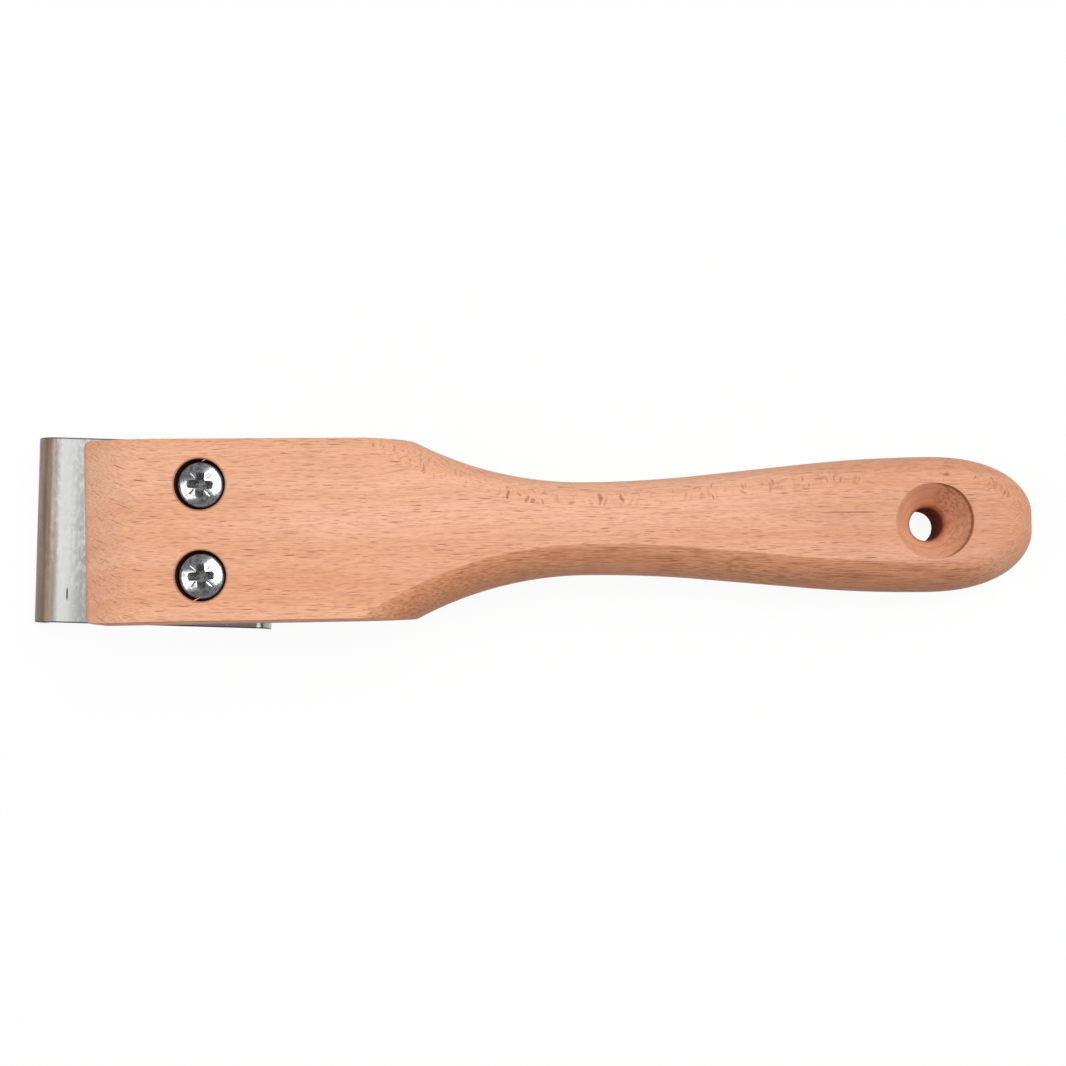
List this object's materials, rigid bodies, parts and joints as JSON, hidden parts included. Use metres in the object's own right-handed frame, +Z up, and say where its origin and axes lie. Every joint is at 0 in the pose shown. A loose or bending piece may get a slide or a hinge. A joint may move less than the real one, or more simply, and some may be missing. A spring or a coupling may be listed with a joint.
{
  "type": "cabinet scraper",
  "caption": "Pull scraper with a waisted beech handle, a hooked sheet-steel blade clamped under its wide head by recessed screws and nuts, and a dished hang hole in the tail.",
  "frame": {"origin": "on the axis of the hang hole, at the underside of the handle", "axes": "+X along the handle to its tail, +Y to the right hand of a user who holds the tail, +Z up out of the top face that the screw heads are in"},
  "size_m": [0.267, 0.0526, 0.036],
  "materials": {
    "beech": "sanded, thin clear oil",
    "blade_steel": "rolled sheet with a thin mottled zinc coat, ground bevel",
    "zinc": "bright zinc plate"
  },
  "bodies": {
    "handle": {"handle": "beech"},
    "blade": {"blade": "blade_steel"},
    "right_screw": {"right_screw": "zinc"},
    "left_screw": {"left_screw": "zinc"},
    "right_nut": {"right_nut": "zinc", "right_washer": "zinc"},
    "left_nut": {"left_nut": "zinc", "left_washer": "zinc"}
  },
  "joints": [
    {"name": "blade_swivel", "type": "hinge", "parent": "handle", "child": "blade", "pos_m": [-0.189, 0.0118, 0], "axis": [0, 0, 1], "range_deg": [-0.3, 2.7]},
    {"name": "right_screw_turn", "type": "hinge", "parent": "handle", "child": "right_screw", "pos_m": [-0.189, 0.0118, 0], "axis": [0, 0, 1], "range_deg": [0, 1440]},
    {"name": "left_screw_turn", "type": "hinge", "parent": "handle", "child": "left_screw", "pos_m": [-0.189, -0.0118, 0], "axis": [0, 0, 1], "range_deg": [0, 1440]},
    {"name": "right_nut_travel", "type": "slide", "parent": "handle", "child": "right_nut", "axis": [0, 0, -1], "range_m": [0, 0.004]},
    {"name": "left_nut_travel", "type": "slide", "parent": "handle", "child": "left_nut", "axis": [0, 0, -1], "range_m": [0, 0.004]}
  ],
  "couplings": [
    {"joint": "right_nut_travel", "follows": "right_screw_turn", "m_per_rad": 0.00015915},
    {"joint": "left_nut_travel", "follows": "left_screw_turn", "m_per_rad": 0.00015915}
  ]
}
